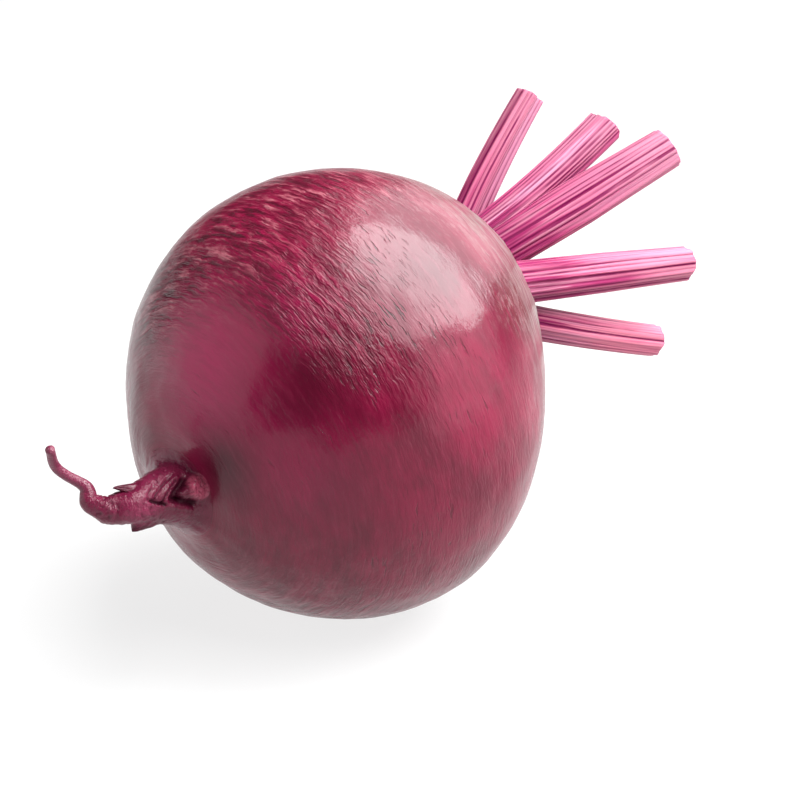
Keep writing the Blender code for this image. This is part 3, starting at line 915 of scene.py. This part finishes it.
# Painted highlight and painted light on the stalks' paler bands
STALK_PAINTED_LIGHT = (0.43, 0.21, 0.31)
STALK_DEEP = (0.21, 0.007, 0.070)
STALK_GROOVE = (0.115, 0.0015, 0.040)
# A warmer, brighter pink: partly the stalks' own colour, partly painted light
STALK_FLUSH_AND_LIGHT = (0.53, 0.155, 0.225)
STALK_FOOT = (0.10, 0.002, 0.034)
STALK_FLESH = (0.27, 0.135, 0.165)
FLOOR_GREYS = ((0.13, 0.13, 0.13), (0.14, 0.14, 0.14))

# The skin's waxy coat where it is whole, and in a dark crease
COAT_WEIGHT = 0.58
CREASE_COAT = 0.05

# Heights of the bumps, in metres
ROW_BUMP = 0.0007
CRINKLE_BUMP = 0.00007
DENT_BUMP = 0.00014
PIT_BUMP = 0.00002
RIB_BUMP = 0.00025


def skin_material():
    n = Nodes("beet_skin")
    grain, height, along = n.vector("grain"), n.value("height"), n.value("along")
    crease_shade, flesh, wrinkled = n.value("crease_shade"), n.value("flesh"), n.value("wrinkled")
    painted_shade, salmon, brownish, streaky, dashed, painted_light = (n.value(name) for name in TINTS)
    bent = n.warped(grain, 260.0, 0.0012)
    streak = n.noise(n.stretch(bent, (150.0, 150.0, 1000.0)), 1.0, 4.0, 0.6)
    patches = n.noise(n.stretch(grain, (50.0, 50.0, 90.0)), 1.0, 4.0, 0.6)
    flecks = n.noise(n.stretch(bent, (520.0, 520.0, 1500.0)), 1.0, 3.0, 0.6)
    pits = n.noise(n.stretch(grain, (2300.0, 2300.0, 3300.0)), 1.0, 2.0, 0.6)
    crinkle = n.ramp(n.noise(n.stretch(bent, (230.0, 230.0, 1800.0)), 1.0, 3.0, 0.6), 0.32, 0.66)

    # Red skin, salmon or brown in places, with painted light and painted shade in soft blobs, pale streaks,
    # painted glints and flecks, and painted shade in the grooves where it is wrinkled
    base = n.mix(n.ramp(patches, 0.35, 0.65), SKIN_DEEP, SKIN_RED)
    # Painted light: brighter red in soft blobs
    base = n.mix(n.times(painted_light, 0.85), base, SKIN_PAINTED_LIGHT)
    # Painted shade: darker red in soft blobs
    base = n.mix(n.times(painted_shade, 0.75), base, SKIN_DARK_AND_PAINTED_SHADE)
    base = n.mix(n.ramp(streak, 0.50, 0.66, 0.0, 0.15), base, SKIN_STREAK)
    base = n.mix(n.times(n.ramp(streak, 0.50, 0.38), n.ramp(streaky, 0.0, 1.0, 0.1, 0.9)), base, SKIN_DARK_AND_PAINTED_SHADE)
    # Painted highlight: pale glints along the streaks where it is streaky
    painted_glints = n.times(n.ramp(streak, 0.52, 0.64), n.ramp(streaky, 0.0, 1.0, 0.02, 1.0))
    base = n.mix(n.times(painted_glints, n.ramp(flecks, 0.38, 0.60, 0.3, 1.0)), base, SKIN_PAINTED_GLINT)
    upper = n.plus(height, n.times(n.minus(patches, 0.5), 0.020))
    upper = n.plus(n.ramp(upper, 0.008, 0.034, 0.0, 0.45), n.times(salmon, 0.35))
    base = n.mix(upper, base, SKIN_SALMON)
    pale = n.times(n.ramp(flecks, 0.53, 0.66), n.plus(0.02, n.times(upper, 1.05)))
    base = n.mix(pale, base, SKIN_FLECK)
    # Painted shade in the grooves of the wrinkles
    groove = n.times(n.ramp(crinkle, 0.0, 1.0, 0.6, 0.0), n.ramp(wrinkled, 0.1, 1.0))
    base = n.mix(groove, base, SKIN_DARK_AND_PAINTED_SHADE)
    brown = n.times(brownish, n.ramp(streak, 0.58, 0.42, 0.1, 1.2))
    base = n.mix(brown, base, SKIN_BROWN)
    base = n.mix(n.times(brownish, n.ramp(flecks, 0.52, 0.62, 0.0, 0.4)), base, SKIN_FLECK)

    # Corky crown, tan at its rim and brown in its middle, with paler leaf scars
    cork = n.plus(height, n.times(n.minus(streak, 0.5), 0.012))
    corky = n.times(n.ramp(cork, 0.016, 0.031, 0.0, 0.9), n.ramp(streak, 0.36, 0.60, 0.25, 1.0))
    base = n.mix(corky, base, CORK_TAN)
    base = n.mix(n.times(n.ramp(cork, 0.0335, 0.0375), n.ramp(flecks, 0.35, 0.6, 0.5, 1.0)), base, CORK_BROWN)
    base = n.mix(n.ramp(n.value("scar"), 0.3, 0.9, 0.0, 0.8), base, CORK_SCAR)

    # Short dark dashes that run round the axis, in some places
    thin = n.noise(n.stretch(bent, (260.0, 260.0, 2100.0)), 1.0, 2.0, 0.5)
    dashes = n.times(n.ramp(thin, 0.62, 0.69), n.ramp(patches, 0.50, 0.62, 0.0, 0.45))
    dashes = n.plus(dashes, n.times(dashed, n.ramp(thin, 0.585, 0.64, 0.0, 0.9)))
    base = n.mix(dashes, base, SKIN_DASH)

    # Taproot, painted shade in its creases, rings and pointed side roots, and the bare flesh of its blunt side roots
    tap = n.mix(n.ramp(patches, 0.35, 0.65), TAPROOT_DARK, TAPROOT_PALE)
    base = n.mix(n.ramp(along, 0.0, 0.004), base, tap)
    base = n.mix(n.ramp(along, 0.021, 0.026, 0.0, 0.6), base, TAPROOT_THIN)
    # Painted shade in the creases, the taproot's rings and the pointed side roots
    base = n.mix(n.ramp(crease_shade, 0.15, 0.8, 0.0, 0.85), base, PAINTED_CREASE_SHADE)
    base = n.mix(n.times(flesh, n.ramp(pits, 0.35, 0.55, 0.35, 1.0)), base, FLESH_PINK)
    n.link(base, "Base Color")

    # A waxy coat, thinner in creases, on cork and where the skin is wrinkled
    n.fix({"Roughness": 0.5, "Specular IOR Level": 0.1, "Coat Roughness": 0.125, "Coat IOR": 1.45})
    waxy = n.times(n.ramp(crease_shade, 0.1, 0.7, COAT_WEIGHT, CREASE_COAT), n.ramp(corky, 0.0, 1.0, 1.0, 0.75))
    n.link(n.times(waxy, n.ramp(wrinkled, 0.5, 1.2, 1.0, 0.6)), "Coat Weight")

    # Rows where it is streaky, crinkles where it is wrinkled, dents and pits all over, more on the taproot
    dents = n.noise(n.stretch(bent, (900.0, 900.0, 1900.0)), 1.0, 3.0, 0.6)
    rows = n.times(streak, n.ramp(streaky, 0.0, 1.0, 0.1, 1.0))
    bumps = n.bump(n.minus(rows, n.times(dashes, 0.15)), 1.0, ROW_BUMP)
    bumps = n.bump(n.times(crinkle, wrinkled), 1.0, CRINKLE_BUMP, bumps)
    tough = n.plus(n.ramp(wrinkled, 0.0, 1.0, 0.12, 1.0), n.ramp(along, 0.001, 0.004, 0.0, 2.2))
    bumps = n.bump(n.times(dents, tough), 1.0, DENT_BUMP, bumps)
    bumps = n.bump(n.times(pits, n.ramp(along, 0.001, 0.004, 1.0, 3.5)), 1.0, PIT_BUMP, bumps)
    n.link(bumps, "Normal")
    n.link(bumps, "Coat Normal")
    return n.material


def stalk_material():
    n = Nodes("leaf_stalk_skin")
    fibre, along, groove = n.vector("fibre"), n.value("along"), n.value("groove")
    cut, tone = n.value("cut"), n.value("tone")
    streak = n.noise(n.stretch(fibre, (1100.0, 1100.0, 40.0)), 1.0, 3.0, 0.55)
    pink = n.mix(n.ramp(along, 0.2, 0.95), STALK_MAGENTA, STALK_PINK)
    # A warmer, brighter pink: partly the stalk's own colour, partly painted light
    pink = n.mix(n.value("flush_and_light"), pink, STALK_FLUSH_AND_LIGHT)
    # Paler bands: painted highlight and painted light
    pink = n.mix(n.ramp(tone, 0.0, 1.0, 0.0, 0.8), pink, STALK_PAINTED_LIGHT)
    pink = n.mix(n.ramp(tone, 0.0, -1.0, 0.0, 0.8), pink, STALK_DEEP)
    pink = n.mix(n.times(n.ramp(streak, 0.52, 0.42), n.ramp(along, 0.65, 0.25, 0.0, 1.0)), pink, STALK_PINK)
    pink = n.mix(n.times(n.ramp(streak, 0.50, 0.64), n.ramp(along, 0.25, 0.65, 0.95, 0.4)), pink, STALK_DEEP)
    broken = n.noise(n.stretch(fibre, (700.0, 700.0, 110.0)), 1.0, 2.0)
    dark = n.times(n.ramp(groove, 0.06, 0.55), n.ramp(broken, 0.25, 0.55, 0.45, 1.0))
    pink = n.mix(dark, pink, STALK_GROOVE)
    base = n.mix(n.ramp(along, 0.10, 0.40, 0.3, 0.0), pink, STALK_FOOT)
    dots = n.add("ShaderNodeTexVoronoi", {"Vector": fibre, "Scale": 900.0}).outputs["Distance"]
    flesh = n.mix(n.ramp(dots, 0.10, 0.30), STALK_MAGENTA, STALK_FLESH)
    base = n.mix(cut, base, flesh)
    n.link(base, "Base Color")
    n.link(n.ramp(streak, 0.3, 0.7, 0.42, 0.56), "Roughness")
    n.fix({"IOR": 1.42, "Specular IOR Level": 0.12})
    n.fix({"Subsurface Weight": 0.15, "Subsurface Radius": (1.0, 0.25, 0.35), "Subsurface Scale": 0.0005})
    ribs = n.noise(n.stretch(fibre, (1500.0, 1500.0, 60.0)), 1.0, 3.0, 0.6)
    n.link(n.bump(ribs, 0.4, RIB_BUMP), "Normal")
    return n.material


def floor_material():
    n = Nodes("floor_white")
    grain = n.add("ShaderNodeTexCoord").outputs["Object"]
    tone = n.noise(grain, 6.0, 2.0)
    n.link(n.mix(n.ramp(tone, 0.3, 0.7), *FLOOR_GREYS), "Base Color")
    n.fix({"Roughness": 0.9, "Specular IOR Level": 0.1})
    n.fix({"Emission Color": (1.0, 1.0, 1.0, 1.0), "Emission Strength": 0.79})
    return n.material


# Camera: the photo's viewing angle, with the body's middle at this place in the 800 x 800 picture
AZIMUTH = math.radians(-42.0)
ELEVATION = math.radians(22.0)
MM_PER_PIXEL = 0.185
LENS = 120.0
SENSOR = 36.0
BODY_PIXEL = (338.0, 395.0)
MIDDLE_PIXEL = 400.0

# Soft light panels: direction, size in metres, glow, first axis, and shift along the first and second axis.
# Directions and axes are in camera terms: right, up, towards the camera.
PANEL_DISTANCE = 0.60
ABOVE = (0.52, 0.85, -0.09)
TO_CAMERA = (0.0, 0.0, 1.0)
PANELS = {
    "near_panel": (ABOVE, (0.44, 0.69), 16.5, TO_CAMERA, (0.22, 0.014)),
    "front_panel": (ABOVE, (0.70, 0.69), 8.0, TO_CAMERA, (0.79, 0.014)),
    "far_panel": (ABOVE, (0.57, 0.50), 3.4, TO_CAMERA, (-0.29, 0.02)),
    "left_panel": ((-0.93, 0.35, -0.15), (1.56, 0.96), 1.45, (0.10, 0.27, 0.96), (0.02, -0.39)),
    "right_panel": ((0.93, 0.05, 0.35), (0.70, 0.50), 2.6, TO_CAMERA, (0.0, 0.0)),
}

# The surroundings glow more behind the beetroot than on the camera's side
WORLD_LOW, WORLD_HIGH = 0.03, 0.6
WORLD_FROM, WORLD_TO = -0.1, 0.9

# Floor: its side in metres, and the squares along it
FLOOR_SIZE = 4.0
FLOOR_STEPS = 24


def camera_axes():
    level = Vector((-math.sin(AZIMUTH), math.cos(AZIMUTH), 0))
    right = Vector((math.cos(AZIMUTH), math.sin(AZIMUTH), 0))
    forward = level * math.cos(ELEVATION) - Vector((0, 0, math.sin(ELEVATION)))
    up = level * math.sin(ELEVATION) + Vector((0, 0, math.cos(ELEVATION)))
    return right, up, forward


def add_camera():
    right, up, forward = camera_axes()
    aim = right * (MIDDLE_PIXEL - BODY_PIXEL[0]) - up * (MIDDLE_PIXEL - BODY_PIXEL[1])
    target = Vector((0, 0, REST_HEIGHT * MM)) + aim * MM_PER_PIXEL * MM
    distance = 2 * MIDDLE_PIXEL * MM_PER_PIXEL * MM * LENS / SENSOR
    data = bpy.data.cameras.new("camera")
    data.lens = LENS
    data.sensor_width = SENSOR
    data.clip_start = 0.01
    camera = bpy.data.objects.new("camera", data)
    bpy.context.scene.collection.objects.link(camera)
    turn = Matrix((right, up, -forward)).transposed()
    camera.matrix_world = Matrix.Translation(target - forward * distance) @ turn.to_4x4()
    bpy.context.scene.camera = camera


def add_panel(name, direction, size, glow, axis, shift):
    right, up, forward = camera_axes()
    way = (right * direction[0] + up * direction[1] - forward * direction[2]).normalized()
    along = right * axis[0] + up * axis[1] - forward * axis[2]
    along = (along - way * along.dot(way)).normalized()
    other = way.cross(along)
    data = bpy.data.lights.new(name, "AREA")
    data.shape = "RECTANGLE"
    data.size, data.size_y = size
    data.energy = glow * math.pi * size[0] * size[1]
    lamp = bpy.data.objects.new(name, data)
    bpy.context.scene.collection.objects.link(lamp)
    place = Vector((0, 0, REST_HEIGHT * MM)) + way * PANEL_DISTANCE + along * shift[0] + other * shift[1]
    turn = Matrix((along, other, way)).transposed()
    lamp.matrix_world = Matrix.Translation(place) @ turn.to_4x4()


def add_lights():
    for name, settings in PANELS.items():
        add_panel(name, *settings)
    world = bpy.data.worlds.new("studio")
    world.use_nodes = True
    bpy.context.scene.world = world
    tree = world.node_tree
    background = tree.nodes["Background"]
    place = tree.nodes.new("ShaderNodeTexCoord")
    _, _, forward = camera_axes()
    level = Vector((forward.x, forward.y, 0)).normalized()
    dot = tree.nodes.new("ShaderNodeVectorMath")
    dot.operation = "DOT_PRODUCT"
    dot.inputs[1].default_value = level
    tree.links.new(place.outputs["Generated"], dot.inputs[0])
    spread = tree.nodes.new("ShaderNodeMapRange")
    spread.interpolation_type = "SMOOTHSTEP"
    spread.inputs["From Min"].default_value = WORLD_FROM
    spread.inputs["From Max"].default_value = WORLD_TO
    spread.inputs["To Min"].default_value = WORLD_LOW
    spread.inputs["To Max"].default_value = WORLD_HIGH
    tree.links.new(dot.outputs["Value"], spread.inputs["Value"])
    tree.links.new(spread.outputs["Result"], background.inputs["Strength"])


def add_floor():
    places = [FLOOR_SIZE * (k / FLOOR_STEPS - 0.5) for k in range(FLOOR_STEPS + 1)]
    points = [(x, y, 0.0) for y in places for x in places]
    faces = []
    for j in range(FLOOR_STEPS):
        for i in range(FLOOR_STEPS):
            a = j * (FLOOR_STEPS + 1) + i
            faces.append((a, a + 1, a + FLOOR_STEPS + 2, a + FLOOR_STEPS + 1))
    floor = object_from("floor", points, faces, floor_material())


def main():
    build_root(skin_material())
    stalk_skin = stalk_material()
    for number, spec in enumerate(STALKS, 1):
        build_stalk(number, spec, stalk_skin)
    add_floor()
    add_lights()
    add_camera()
    bpy.context.scene.view_settings.view_transform = "Standard"


def plain(bounds):
    return [[float(value) for value in corner] for corner in bounds]


main()
